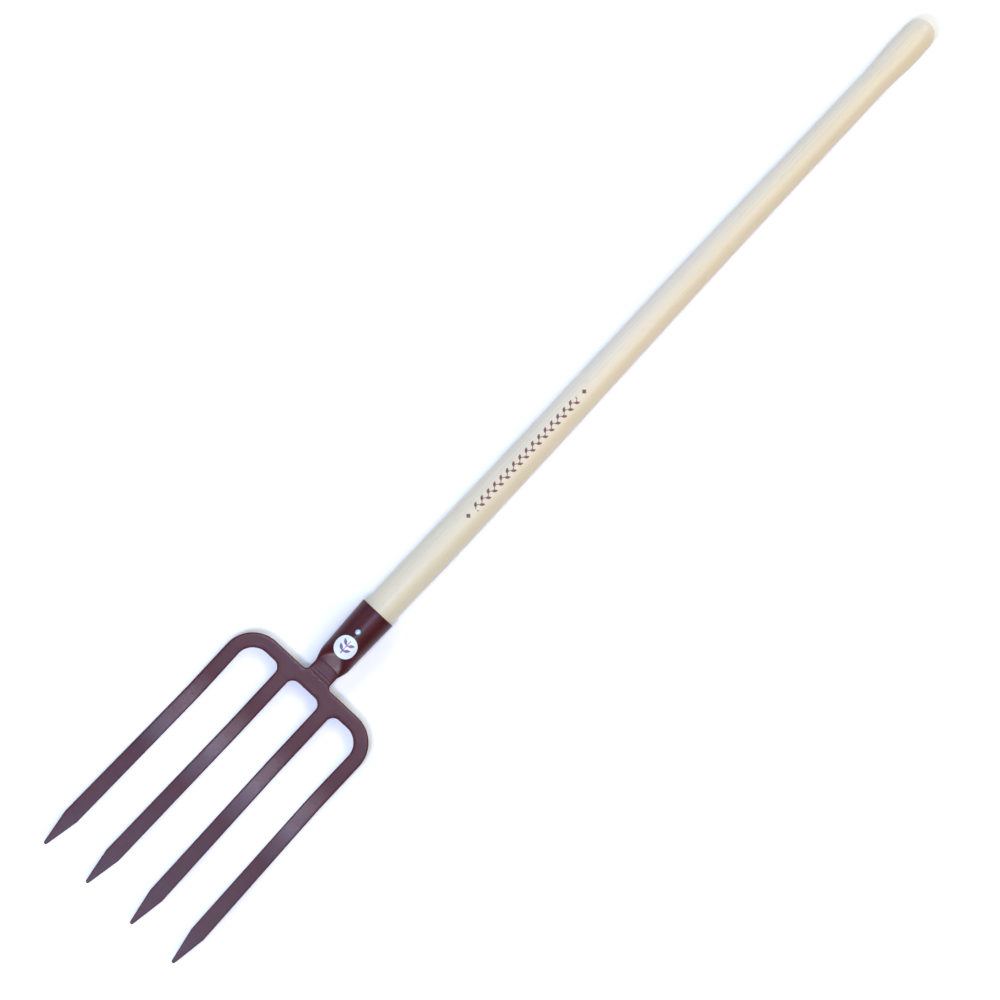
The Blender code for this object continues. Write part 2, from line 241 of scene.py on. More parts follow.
def section_height(x, y, half_height):
    """Height of a socket section above its middle at y: level, then turned down to its sides."""
    edge = NECK_EDGE + (socket_radius(x) - NECK_EDGE) * share(x, LEVEL_X, SHANK_X)
    depth = NECK_EDGE_DEPTH + (1 - NECK_EDGE_DEPTH) * share(x, NECK_START_X, CREASE_X)
    turned = max(abs(y) - (socket_half_width(x) - edge), 0) / edge
    return half_height * (1 - depth * (1 - math.sqrt(max(1 - turned**2, 0))))


def handle_radius(x):
    """A tapered end, a slight swell, a long taper to the waist, and a knob."""
    if x <= MOUTH_X:
        return bore_radius(x) - FIT
    if x <= SWELL_X:
        start = bore_radius(MOUTH_X) - FIT
        return start + (SWELL_RADIUS - start) * smooth(share(x, MOUTH_X, SWELL_X))
    if x <= WAIST_X:
        return SWELL_RADIUS + (WAIST_RADIUS - SWELL_RADIUS) * share(x, SWELL_X, WAIST_X)
    if x <= END_X - KNOB_END_LENGTH:
        return WAIST_RADIUS + (KNOB_RADIUS - WAIST_RADIUS) * smooth(share(x, WAIST_X, KNOB_X))
    over_end = share(x, END_X - KNOB_END_LENGTH, END_X)
    return KNOB_RADIUS * (1 - over_end**KNOB_POWER) ** (1 / KNOB_POWER)


def socket_lean(x):
    """How far the socket, which isn't set quite straight, runs to the side."""
    return SOCKET_LEAN * (0.6 * smooth(share(x, CREASE_X, PRESS_X)) + 0.4 * share(x, PRESS_X, MOUTH_X))


def handle_sway(x):
    """How far the handle, which isn't quite straight, runs to the side."""
    if x <= MOUTH_X:
        return socket_lean(x)
    free = smooth(share(x, MOUTH_X, SWELL_X))
    wander = SWAY * free * math.sin(math.tau * (x - SWAY_X) / SWAY_PITCH)
    return SOCKET_LEAN * (1 - free) + wander - SWAY * smooth(share(x, WAIST_X - 100 * MM, END_X))


# ---------------------------------------------------------------- making pieces


def add_piece(name, form, finish, node, sharp_deg):
    """Makes a mesh piece that stands for a CAD node, with the finish it is given."""
    bmesh.ops.recalc_face_normals(form, faces=form.faces)
    mesh = bpy.data.meshes.new(name)
    form.to_mesh(mesh)
    form.free()
    mesh.materials.append(finish)
    mesh.shade_smooth()
    mesh.set_sharp_from_angle(angle=math.radians(sharp_deg))
    piece = bpy.data.objects.new(name, mesh)
    bpy.context.scene.collection.objects.link(piece)
    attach(piece, "root")
    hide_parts(node)
    return piece


def bridge(form, near, far):
    """Joins two closed loops of vertices with a band of faces."""
    for i in range(len(near)):
        form.faces.new((near[i - 1], near[i], far[i], far[i - 1]))


def loft(rings, end_cap=True):
    """A skin over rings with equal counts of points, with a flat cap on its start and on its end."""
    form = bmesh.new()
    loops = [[form.verts.new(point) for point in ring] for ring in rings]
    for near, far in zip(loops, loops[1:]):
        bridge(form, near, far)
    form.faces.new(loops[0])
    if end_cap:
        form.faces.new(loops[-1])
    return form


def unit(x, y):
    """A flat direction of length 1."""
    length = math.hypot(x, y)
    return x / length, y / length


def inset(loop, distances):
    """Moves each point of a counter-clockwise loop inwards by its distance."""
    moved = []
    for i, (x, y) in enumerate(loop):
        before, after = loop[i - 1], loop[(i + 1) % len(loop)]
        in_dir = unit(x - before[0], y - before[1])
        out_dir = unit(after[0] - x, after[1] - y)
        normal = unit(-in_dir[1] - out_dir[1], in_dir[0] + out_dir[0])
        mitre = distances[i] / (normal[0] * -in_dir[1] + normal[1] * in_dir[0])
        moved.append((x + normal[0] * mitre, y + normal[1] * mitre))
    return moved


def divided(loop, longest):
    """The same loop with its long edges divided."""
    points = []
    for i, (x, y) in enumerate(loop):
        next_x, next_y = loop[(i + 1) % len(loop)]
        parts = max(1, math.ceil(math.hypot(next_x - x, next_y - y) / longest))
        points += [(x + (next_x - x) * k / parts, y + (next_y - y) * k / parts) for k in range(parts)]
    return points


# ---------------------------------------------------------------- the fork plate


def tine_edge(x, root_y, splay, side):
    """Where one edge of a tine is: side is 1 for its outer edge, -1 for its inner edge, 0 between."""
    down = max(SPLAY_X - x, 0)
    return root_y + splay * down + side * (TINE_WIDTH + TINE_FLARE * down) / 2


def tine_outline(root_y, splay):
    """Down a tine's outer edge, round its tip, and back up its inner edge."""
    stations = steps(BEND_TOP_X, SPLAY_X, 4) + [POINT_X + 2 * MM, POINT_X]
    tip_y = tine_edge(TIP_X, root_y, splay, 0)
    taper = math.degrees(math.atan((TINE_WIDTH / 2 - TIP_RADIUS) / (POINT_X - TIP_X)))
    tip = arc(TIP_X + TIP_RADIUS, tip_y, TIP_RADIUS, 90 + taper, 270 - taper, 14)
    down = [(x, tine_edge(x, root_y, splay, 1)) for x in stations]
    up = [(x, tine_edge(x, root_y, splay, -1)) for x in reversed(stations)]
    return down + tip + up


def half_outline():
    """The plate's outline from the end of its neck to the root of the middle slot, for Y > 0."""
    neck_y = NECK_WIDTH / 2
    shoulder_x = TREAD_X - SHOULDER_RADIUS
    shoulder_y = HEAD_HALF_WIDTH - SHOULDER_RADIUS
    corner_x = TREAD_X - BAR_DEPTH - SLOT_RADIUS
    inner_y = TINES[1][0]
    points = [(WELD_X, neck_y)]
    points += arc(TREAD_X + NECK_FILLET, neck_y + NECK_FILLET, NECK_FILLET, 270, 180, 10)
    points += arc(shoulder_x, shoulder_y, SHOULDER_RADIUS, 0, 90, 30)
    points += tine_outline(*TINES[0])
    points += arc(shoulder_x, shoulder_y, SHOULDER_RADIUS - BAR_DEPTH, 90, 0, 22)
    points += arc(corner_x, inner_y + TINE_WIDTH / 2 + SLOT_RADIUS, SLOT_RADIUS, 0, -90, 16)
    points += tine_outline(*TINES[1])
    points += arc(corner_x, inner_y - TINE_WIDTH / 2 - SLOT_RADIUS, SLOT_RADIUS, 90, 0, 16)
    return points


def plate_layer(outline, turn, side):
    """One level of the flat plate: turn runs from its upright wall (0) to its flat face (90 degrees)."""
    lean = math.sin(math.radians(turn))
    drawn_in = EDGE_ROUNDING * (1 - math.cos(math.radians(turn)))
    level = side * (0.5 - EDGE_ROUNDING + EDGE_ROUNDING * lean)
    rounded = inset(outline, [drawn_in * thickness(x) for x, _ in outline])
    layer = []
    for (plan_x, _), (x, y) in zip(outline, rounded):
        if plan_x >= WELD_X:
            x = plan_x - WELD_PREP * lean
        layer.append((x, y, level))
    return layer


def points_within(loop, spacing):
    """A honeycomb of points inside a loop, clear of its edge."""
    edge = np.array(loop)
    ahead = np.roll(edge, -1, axis=0)
    low, high = edge.min(0), edge.max(0)
    clearance = 0.62 * spacing
    rows = np.arange(low[1], high[1], spacing * math.sqrt(0.75))
    found = []
    for row, y in enumerate(rows):
        xs = np.arange(low[0] + spacing / 2 * (row % 2), high[0], spacing)
        crossing = (edge[:, 1] > y) != (ahead[:, 1] > y)
        start, end = edge[crossing], ahead[crossing]
        cross_x = start[:, 0] + (y - start[:, 1]) * (end[:, 0] - start[:, 0]) / (end[:, 1] - start[:, 1])
        inside = ((cross_x[None, :] > xs[:, None]).sum(1) % 2) == 1
        for x in xs[inside]:
            if np.hypot(edge[:, 0] - x, edge[:, 1] - y).min() > clearance:
                found.append((float(x), float(y)))
    return found


def fill_face(form, rim, level):
    """Fills the flat face inside a rim of vertices with even triangles."""
    loop = [(v.co.x, v.co.y) for v in rim]
    inner = points_within(loop, GRID)
    flat = [Vector(p) for p in loop + inner]
    edges = [(i, (i + 1) % len(loop)) for i in range(len(loop))]
    inside_only = 1
    same_place = 1e-7
    points, _, triangles, sources, _, _ = delaunay_2d_cdt(flat, edges, [], inside_only, same_place)
    verts = {}
    for i, source in enumerate(sources):
        first = source[0]
        verts[i] = rim[first] if first < len(rim) else form.verts.new((*points[i], level))
    for triangle in triangles:
        form.faces.new([verts[i] for i in triangle])


def forged_hollow(x, y, level):
    """How far forging sinks a face of the plate: broad hollows with finer ones on them."""
    broad = 0.5 + noise.noise(Vector((x * 55, y * 55, level))) / 2
    fine = 0.5 + noise.noise(Vector((x * 170, y * 170, level * 3))) / 2
    return FORGE_WAVE * (broad + fine / 3) * share(x, WELD_X, TREAD_X - BAR_DEPTH / 2)


def make_fork_plate(finish):
    """Four tines, the bar that joins them and the stub of the neck, forged from one plate."""
    half = half_outline()
    outline = divided(half + [(x, -y) for x, y in reversed(half)], GRID * 1.2)
    turns = steps(90, 0, EDGE_STEPS)
    layers = [plate_layer(outline, turn, -1) for turn in turns]
    layers += [plate_layer(outline, turn, 1) for turn in reversed(turns)]
    form = bmesh.new()
    loops = [[form.verts.new(point) for point in layer] for layer in layers]
    for near, far in zip(loops, loops[1:]):
        bridge(form, near, far)
    fill_face(form, loops[0], -0.5)
    fill_face(form, loops[-1], 0.5)
    for vert in form.verts:
        x, y, level = vert.co
        on_face = (abs(level) - (0.5 - EDGE_ROUNDING)) / EDGE_ROUNDING
        hollow = math.copysign(forged_hollow(x, y, level) * on_face, level)
        vert.co.z = plate_z(x) + level * thickness(x) - hollow
    return add_piece("tines_and_bar", form, finish, "fork_plate", 60)


# ---------------------------------------------------------------- the socket and its weld


def socket_ring(x, half_height):
    """A section of the socket, sagging at its sides where it crosses the fold."""
    half_width = socket_half_width(x)
    middle_z = axis_z(x) if x > CREASE_X else plate_z(x)
    near_crease = 1 - share(abs(x - CREASE_X), 0, 4 * CREASE_BOW)
    ring = []
    for turn in around(ROUND_STEPS):
        y = half_width * math.cos(turn)
        rise = section_height(x, y, half_height)
        sag = CREASE_BOW * near_crease * min(abs(y) / CREASE_BOW_Y, 1) ** 3
        ring.append((x - sag, y + socket_lean(x), middle_z + math.copysign(rise, math.sin(turn))))
    return ring


def round_ring(x, radius):
    """A circle about the middle line of socket and handle."""
    side = socket_lean(x)
    middle_z = axis_z(x)
    return [(x, side + radius * math.cos(a), middle_z + radius * math.sin(a)) for a in around(ROUND_STEPS)]


def make_socket(finish):
    """The tube that holds the handle, pressed flat at its lower end into a neck for the weld."""
    half_plate = PLATE_THICKNESS / 2
    fold_start = CREASE_X - CREASE_EASE
    fold_end = CREASE_X + CREASE_EASE
    pressed = steps(fold_start, fold_end, 6)[1:] + steps(fold_end, PRESS_X, 40)[1:]
    outer_lip = MOUTH_ROUNDING
    inner_lip = 0.3 * MM
    rings = [socket_ring(WELD_X, half_plate * (1 - 2 * EDGE_ROUNDING))]
    rings += [socket_ring(x, half_plate) for x in steps(WELD_X + WELD_PREP, fold_start, 12)]
    rings += [socket_ring(x, socket_half_height(x)) for x in pressed]
    rings += [round_ring(x, socket_radius(x)) for x in steps(PRESS_X, MOUTH_X - outer_lip, 24)[1:]]
    rings += [
        round_ring(MOUTH_X - outer_lip * (1 - math.sin(a)), MOUTH_RADIUS - outer_lip * (1 - math.cos(a)))
        for a in steps(0, math.pi / 2, 5)[1:]
    ]
    rings += [round_ring(MOUTH_X, bore_radius(MOUTH_X) + inner_lip)]
    rings += [round_ring(x, bore_radius(x)) for x in steps(MOUTH_X - inner_lip, BORE_END_X, 8)]
    return add_piece("socket_tube", loft(rings), finish, "handle_socket", 40)


def make_weld(name, node, side, finish):
    """A bead across the neck, ground nearly flush: side is 1 in front and -1 behind."""
    half_width = WELD_PREP + WELD_OVERLAP
    root = PLATE_THICKNESS * EDGE_ROUNDING
    half_length = NECK_WIDTH / 2 - WELD_STOP
    rings = []
    for y in steps(-half_length, half_length, 120):
        fullness = math.sqrt(max(1 - abs(y / half_length) ** 8, 0.02))
        wander = 0.3 * MM * noise.noise(Vector((y * 260, side * 7, 0)))
        swell = 1 + 0.35 * noise.noise(Vector((y * 700, side * 3, 5)))
        ring = []
        for across in steps(1, -1, 14):
            x = WELD_X + wander + half_width * fullness * across
            rise = WELD_CROWN * swell * fullness * (1 - across**2) ** 2 - WELD_SINK
            ring.append((x, y, plate_z(x) + side * (PLATE_THICKNESS / 2 + rise)))
        ring.append((WELD_X, y, plate_z(WELD_X) + side * (PLATE_THICKNESS / 2 - root * fullness)))
        rings.append(ring)
    return add_piece(name, loft(rings), finish, node, 70)


# ---------------------------------------------------------------- the handle, rivet and label


def make_handle(finish):
    """A turned shaft, very slightly uneven, whose far end is a knob."""
    knob_turns = steps(0, math.radians(82), 24)[1:]
    stations = steps(HANDLE_START_X, MOUTH_X, 12)
    stations += steps(MOUTH_X, WAIST_X, 210)[1:]
    stations += steps(WAIST_X, END_X - KNOB_END_LENGTH, 30)[1:]
    stations += [END_X - KNOB_END_LENGTH * (1 - math.sin(a)) for a in knob_turns]
    rings = []
    for x in stations:
        ring = []
        for turn in around(HANDLE_STEPS):
            hollow = TURNING_WAVE * abs(noise.noise(Vector((x * 14, math.cos(turn), math.sin(turn)))))
            radius = handle_radius(x) - hollow
            ring.append((x, handle_sway(x) + radius * math.sin(turn), axis_z(x) + radius * math.cos(turn)))
        rings.append(ring)
    form = loft(rings, end_cap=False)
    last = list(form.verts)[-HANDLE_STEPS:]
    pole_x = END_X - 0.13 * MM
    pole = form.verts.new((pole_x, handle_sway(END_X), axis_z(END_X)))
    for i in range(HANDLE_STEPS):
        form.faces.new((last[i - 1], last[i], pole))
    return add_piece("turned_handle", form, finish, "wooden_handle", 60)


def make_rivet(finish):
    """The rivet's two domed heads with their shank between."""
    seat = socket_radius(RIVET_X) - RIVET_SINK
    dome = [
        (RIVET_HEAD_RADIUS * math.cos(a) ** 0.8, seat + RIVET_HEAD_HEIGHT * math.sin(a))
        for a in steps(0, math.radians(84), 14)
    ]
    upper = [(RIVET_SHANK_RADIUS, seat)] + dome
    profile = [(r, -z) for r, z in reversed(upper)] + upper
    middle_z = axis_z(RIVET_X)
    rings = [
        [(RIVET_X + r * math.cos(a), RIVET_Y + r * math.sin(a), middle_z + z) for a in around(RIVET_STEPS)]
        for r, z in profile
    ]
    return add_piece("rivet_heads", loft(rings), finish, "socket_rivet", 50)


def on_socket(reach, turn, lift):
    """A point of a disc laid round the socket, lifted off its surface."""
    x = LABEL_X + LABEL_SHORTENING * reach * math.cos(turn)
    tilt = (LABEL_Y - socket_lean(LABEL_X) + reach * math.sin(turn)) / socket_radius(x)
    y = socket_radius(x) * math.sin(tilt)
    rise = section_height(x, y, socket_half_height(x))
    return x, socket_lean(x) + y + lift * math.sin(tilt), axis_z(x) + rise + lift * math.cos(tilt)


def make_label(finish):
    """A round sticker wrapped on the front of the socket, with a soft edge."""
    edge = LABEL_THICKNESS / 2
    rim = LABEL_RADIUS - edge
    profile = [(reach, LABEL_LIFT) for reach in steps(LABEL_MIDDLE, rim, 12)]
    profile += [
        (rim + edge * math.cos(a), LABEL_LIFT + edge + edge * math.sin(a))
        for a in steps(-math.pi / 2, math.pi / 2, 6)[1:]
    ]
    profile += [(reach, LABEL_LIFT + LABEL_THICKNESS) for reach in steps(rim, LABEL_MIDDLE, 12)[1:]]
    rings = [[on_socket(reach, turn, lift) for turn in around(LABEL_STEPS)] for reach, lift in profile]
    return add_piece("label_disc", loft(rings), finish, "round_label", 60)


# ---------------------------------------------------------------- building materials


class Graph:
    """A material's nodes, made by short calls. A value is a number or another node's output."""

    def __init__(self, name):
        self.material = bpy.data.materials.new(name)
        self.material.use_nodes = True
        self.tree = self.material.node_tree
        self.shader = self.tree.nodes["Principled BSDF"]
        self.place = self.node("ShaderNodeTexCoord").outputs["Object"]

    def node(self, kind, **settings):
        """Adds a node and sets its settings."""
        made = self.tree.nodes.new(kind)
        for name, value in settings.items():
            setattr(made, name, value)
        return made

    def feed(self, socket, value):
        """Links a socket to another node's output, or gives it a number or a colour."""
        if isinstance(value, bpy.types.NodeSocket):
            self.tree.links.new(value, socket)
        else:
            socket.default_value = value

    def set(self, name, value):
        """Sets one of the shader's inputs."""
        self.feed(self.shader.inputs[name], value)

    def calc(self, operation, *values):
        """Adds a node for one sum."""
        made = self.node("ShaderNodeMath", operation=operation)
        for socket, value in zip(made.inputs, values):
            self.feed(socket, value)
        return made.outputs[0]

    def plus(self, first, second):
        return self.calc("ADD", first, second)

    def minus(self, first, second):
        return self.calc("SUBTRACT", first, second)

    def times(self, first, second):
        return self.calc("MULTIPLY", first, second)

    def absolute(self, value):
        return self.calc("ABSOLUTE", value)

    def stretched(self, scale, turn=(0, 0, 0)):
        """Coordinates scaled along each axis, and then turned."""
        made = self.node("ShaderNodeMapping")
        self.feed(made.inputs["Vector"], self.place)
        made.inputs["Scale"].default_value = scale
        made.inputs["Rotation"].default_value = turn
        return made.outputs[0]

    def noise(self, scale, detail=2.0, roughness=0.5, distortion=0.0, place=None):
        """A cloudy value from about 0.2 to 0.8 at each point."""
        made = self.node("ShaderNodeTexNoise")
        self.feed(made.inputs["Vector"], place or self.place)
        made.inputs["Scale"].default_value = scale
        made.inputs["Detail"].default_value = detail
        made.inputs["Roughness"].default_value = roughness
        made.inputs["Distortion"].default_value = distortion
        return made.outputs["Fac"]

    def band(self, value, low, high, to_low=0.0, to_high=1.0):
        """Maps low..high to to_low..to_high, smoothly, and holds it outside."""
        made = self.node("ShaderNodeMapRange", interpolation_type="SMOOTHSTEP")
        limits = {"From Min": low, "From Max": high, "To Min": to_low, "To Max": to_high}
        for name, limit in limits.items():
            self.feed(made.inputs[name], limit)
        self.feed(made.inputs["Value"], value)
        return made.outputs["Result"]

    def mix(self, share_of_second, first, second):
        """Mixes two colours."""
        made = self.node("ShaderNodeMix", data_type="RGBA")
        colours = [s for s in made.inputs if s.type == "RGBA"]
        self.feed(made.inputs[0], share_of_second)
        self.feed(colours[0], first)
        self.feed(colours[1], second)
        return [s for s in made.outputs if s.type == "RGBA"][0]

    def bump(self, height, distance, under=None):
        """Tilts the surface as a height times a distance would, over the bumps under it."""
        made = self.node("ShaderNodeBump")
        made.inputs["Strength"].default_value = 1.0
        made.inputs["Distance"].default_value = distance
        self.feed(made.inputs["Height"], height)
        if under is not None:
            self.feed(made.inputs["Normal"], under)
        return made.outputs["Normal"]

    def leaf_shape(self, along, across, turn_deg, half_length, half_width):
        """A mask that is 1 inside a pointed leaf about the place where along and across are 0."""
        turn_cos = math.cos(math.radians(turn_deg))
        turn_sin = math.sin(math.radians(turn_deg))
        length = self.plus(self.times(along, turn_cos), self.times(across, turn_sin))
        width = self.minus(self.times(across, turn_cos), self.times(along, turn_sin))
        pointedness = 1.6
        long_share = self.absolute(self.calc("DIVIDE", length, half_length))
        long_share = self.calc("POWER", long_share, pointedness)
        wide_share = self.absolute(self.calc("DIVIDE", width, half_width))
        return self.band(self.plus(long_share, wide_share), 0.9, 1.05, 1.0, 0.0)

    def union(self, *masks):
        """A mask that is 1 where any of the masks is."""
        joined = masks[0]
        for mask in masks[1:]:
            joined = self.calc("MAXIMUM", joined, mask)
        return joined

    def axes(self):
        """The x, y and z of each point."""
        made = self.node("ShaderNodeSeparateXYZ")
        self.feed(made.inputs[0], self.place)
        return made.outputs[0], made.outputs[1], made.outputs[2]


def colour(red, green, blue):
    """A colour given as sRGB values from 0 to 255, as linear light."""
    linear = []
    for value in (red / 255, green / 255, blue / 255):
        linear.append(value / 12.92 if value <= 0.04045 else ((value + 0.055) / 1.055) ** 2.4)
    return (*linear, 1.0)


# ---------------------------------------------------------------- the fork's materials


def plum_paint():
    """Sprayed satin enamel: a faint cloudiness, fine specks, orange peel and a few tiny pits."""
    g = Graph("plum_enamel")
    light = (0.061, 0.0092, 0.0125, 1)
    dark = (0.044, 0.006, 0.0076, 1)
    cloud = g.noise(38, detail=3, roughness=0.55)
    speck = g.noise(1500, detail=2)
    grit = g.noise(620, detail=1)
    pits = g.band(g.noise(330, detail=1), 0.70, 0.76)
    tone = g.plus(g.times(g.band(cloud, 0.3, 0.7), 0.45), g.times(g.band(speck, 0.3, 0.7), 0.55))
    painted = g.mix(tone, dark, light)
    painted = g.mix(g.times(pits, 0.35), painted, dark)
    g.set("Base Color", painted)
    g.set("Roughness", g.band(g.plus(g.times(cloud, 0.6), g.times(grit, 0.4)), 0.3, 0.7, 0.29, 0.37))
    g.set("Specular IOR Level", 0.22)
    peel = g.bump(g.noise(420, detail=2), 0.05 * MM)
    fine = g.bump(speck, 0.02 * MM, under=peel)
    g.set("Normal", g.bump(g.times(pits, -1.0), 0.06 * MM, under=fine))
    return g.material


def pale_wood():
    """Straight-grained pale wood, varnished and printed with a garland, with painted warm light on its
    right side and painted shade towards the socket.
    """
    g = Graph("pale_ash")
    x, y, z = g.axes()
    fibre = g.noise(1.0, detail=4, roughness=0.6, place=g.stretched((9, 900, 900)))
    streak = g.noise(1.0, detail=3, roughness=0.55, distortion=0.4, place=g.stretched((3.2, 170, 170)))
    drift = g.noise(1.0, detail=2, place=g.stretched((2.4, 38, 38)))
    pores = g.band(g.noise(1.0, detail=2, place=g.stretched((95, 1500, 1500))), 0.62, 0.72)
    rings = g.node("ShaderNodeTexWave", wave_type="BANDS", bands_direction="Y", wave_profile="SAW")
    g.feed(rings.inputs["Vector"], g.stretched((1.1, 46, 30), turn=(0.5, 0, 0)))
    rings.inputs["Scale"].default_value = 1.6
    rings.inputs["Distortion"].default_value = 2.2
    rings.inputs["Detail"].default_value = 2
    rings.inputs["Detail Scale"].default_value = 0.6
    honey = colour(198, 187, 163)
    brown = colour(166, 138, 103)
    wood = colour(213, 206, 188)
    for amount, tone in (
        (g.times(g.band(streak, 0.35, 0.7), 0.55), honey),
        (g.times(g.band(drift, 0.35, 0.7), 0.35), honey),
        (g.times(g.calc("POWER", rings.outputs["Fac"], 3.0), 0.30), honey),
        # painted warm light: the wood turns amber towards its right side, where warm light falls
        (g.band(y, -18 * MM, 14 * MM, 1.0, 0.0), colour(213, 195, 157)),
        # painted shade: the wood turns darker and straw-coloured towards the socket, against the light the
        # socket's lamps throw on it
        (g.band(x, -300 * MM, 200 * MM, 0.7, 0.0), colour(196, 190, 160)),
        (g.times(pores, 0.28), brown),
        (g.times(g.band(fibre, 0.5, 0.8), 0.12), brown),
        (g.times(garland(g, x, y, z), 0.94), colour(96, 30, 40)),
    ):
        wood = g.mix(amount, wood, tone)
    g.set("Base Color", wood)
    g.set("Roughness", g.band(fibre, 0.3, 0.7, 0.38, 0.5))
    g.set("Coat Weight", 0.25)
    g.set("Coat Roughness", 0.3)
    g.set("Normal", g.bump(g.plus(fibre, g.times(pores, -0.8)), 0.03 * MM))
    return g.material


PRINT_X = 12.4 * MM  # the middle of the printed garland
PRINT_Y = 0.6 * MM
PRINT_LENGTH = 182 * MM
PRINT_PITCH = 9.6 * MM
LOZENGE = 3 * MM


def garland(g, x, y, z):
    """A mask of a wavy stem with paired leaves along the handle's front, with a lozenge at each end."""
    along = g.minus(x, PRINT_X)
    across = g.minus(y, PRINT_Y)
    reach = g.absolute(along)
    front = g.band(z, axis_z(PRINT_X) + 4 * MM, axis_z(PRINT_X) + 6 * MM)
    wave = g.times(g.calc("SINE", g.times(along, math.tau / PRINT_PITCH)), 1.2 * MM)
    stem = g.band(g.absolute(g.minus(across, wave)), 0.35 * MM, 0.6 * MM, 1.0, 0.0)
    body = g.union(stem, leaf(g, along, across, 1), leaf(g, along, across, -1))
    body_reach = PRINT_LENGTH / 2 - 4.4 * LOZENGE
    body = g.times(body, g.band(reach, body_reach, body_reach + 0.4 * MM, 1.0, 0.0))
    away = g.absolute(g.minus(reach, PRINT_LENGTH / 2 - LOZENGE))
    lozenge = g.band(g.plus(away, g.absolute(across)), LOZENGE - 0.3 * MM, LOZENGE, 1.0, 0.0)
    return g.times(g.calc("MAXIMUM", body, lozenge), front)


def leaf(g, along, across, side):
    """A row of slanting leaves on one side of the stem, one for each wave."""
    shift = PRINT_PITCH * (0.25 if side > 0 else 0.75)
    cell = g.calc("WRAP", g.minus(along, shift), PRINT_PITCH / 2, -PRINT_PITCH / 2)
    rise = g.minus(across, side * 2.7 * MM)
    return g.leaf_shape(cell, rise, 35 * side, 3.2 * MM, 1.5 * MM)


def bright_zinc():
    """Zinc plate with a fine spangle, dulled a little."""
    g = Graph("bright_zinc")
    spangle = g.noise(900, detail=3)
    g.set("Base Color", g.mix(g.band(spangle, 0.35, 0.65), colour(150, 172, 200), colour(196, 212, 230)))
    g.set("Metallic", 0.75)
    g.set("Roughness", g.band(spangle, 0.3, 0.7, 0.42, 0.55))
    g.set("Normal", g.bump(g.noise(700, detail=2), 0.03 * MM))
    return g.material


def printed_vinyl():
    """White vinyl with a sprout of four leaves printed in purple."""
    g = Graph("printed_vinyl")
    x, y, _ = g.axes()
    radius = socket_radius(LABEL_X)
    along = g.minus(x, LABEL_X)
    round_socket = g.times(g.calc("ARCSINE", g.calc("DIVIDE", y, radius)), radius)
    across = g.minus(round_socket, LABEL_Y)
    stem_side = g.band(g.absolute(across), 0.5 * MM, 0.8 * MM, 1.0, 0.0)
    stem_ends = g.band(g.absolute(along), 8 * MM, 8.4 * MM, 1.0, 0.0)
    leaves = [
        sprout_leaf(g, along, across, level, side)
        for level in (-2.4 * MM, 4.2 * MM)
        for side in (1, -1)
    ]
    motif = g.union(g.times(stem_side, stem_ends), *leaves)
    paper = g.mix(g.band(g.noise(160, detail=2), 0.3, 0.7), colour(200, 215, 222), colour(213, 223, 227))
    ink = g.mix(g.band(g.noise(240, detail=1), 0.35, 0.65), colour(96, 52, 120), colour(120, 50, 112))
    g.set("Base Color", g.mix(g.times(motif, 0.9), paper, ink))
    g.set("Roughness", g.band(g.noise(90, detail=2), 0.3, 0.7, 0.28, 0.38))
    g.set("Normal", g.bump(g.noise(260, detail=2), 0.03 * MM))
    return g.material


def sprout_leaf(g, along, across, level, side):
    """A leaf that leans out from the sprout's stem at a level along it."""
    rise = g.minus(along, level)
    out = g.minus(across, side * 3.7 * MM)
    return g.leaf_shape(rise, out, 52 * side, 4.6 * MM, 1.8 * MM)


# ---------------------------------------------------------------- stage, light and camera


FLOOR_SIZE = 60
FLOOR_Z = -0.1 * MM  # just clear of what lies on it


def make_floor():
    """A plain, nearly white floor."""
    bpy.ops.mesh.primitive_plane_add(size=FLOOR_SIZE, location=(0, 0, FLOOR_Z))
    floor = bpy.context.object
    floor.name = "floor"
    g = Graph("pale_floor")
    cloud = g.band(g.noise(3, detail=2), 0.3, 0.7)
    g.set("Base Color", g.mix(cloud, (0.9, 0.9, 0.9, 1), (0.92, 0.92, 0.92, 1)))
    g.set("Roughness", 0.9)
    g.set("Specular IOR Level", 0.1)
    floor.data.materials.append(g.material)


CEILING = 2.6
WORLD_GLOW = 0.15


def add_light(name, place, aim, size, glow):
    """A soft light, unseen by the camera. Its glow is its radiance in red, green and blue."""
    strongest = max(glow)
    data = bpy.data.lights.new(name, "AREA")
    data.shape = "RECTANGLE"
    data.size, data.size_y = size
    data.energy = math.pi * size[0] * size[1] * strongest
    data.color = [part / strongest for part in glow]
    light = bpy.data.objects.new(name, data)
    light.location = place
    light.rotation_euler = (Vector(aim) - Vector(place)).to_track_quat("-Z", "Y").to_euler()
    light.visible_camera = False
    bpy.context.scene.collection.objects.link(light)


def add_ceiling_light(name, x, y, size, glow):
    """A soft light at the ceiling that faces straight down."""
    add_light(name, (x, y, CEILING), (x, y, 0), size, glow)


def make_world():
    """An even, faint white glow from all round."""
    world = bpy.data.worlds.new("studio")
    world.use_nodes = True
    backdrop = world.node_tree.nodes["Background"]
    backdrop.inputs["Color"].default_value = (1, 1, 1, 1)
    backdrop.inputs["Strength"].default_value = WORLD_GLOW
    bpy.context.scene.world = world


def light_head():
    """Ceiling lights that the tines, the bar and the front of the socket reflect."""
    add_ceiling_light("tines_left", -0.95, 0.12, (0.3, 0.3), (57, 57, 66))
    add_ceiling_light("tines_right", -0.95, -0.2, (0.3, 0.3), (31, 24, 23))
    add_ceiling_light("points", -1.1, 0, (0.5, 0.5), (1, 2, 10))
    add_ceiling_light("socket_middle", -0.6, 0, (0.5, 0.5), (5.7, 11.3, 22))
    add_ceiling_light("socket_right", -0.6, -0.5, (0.5, 0.5), (4.8, 7.5, 10.8))


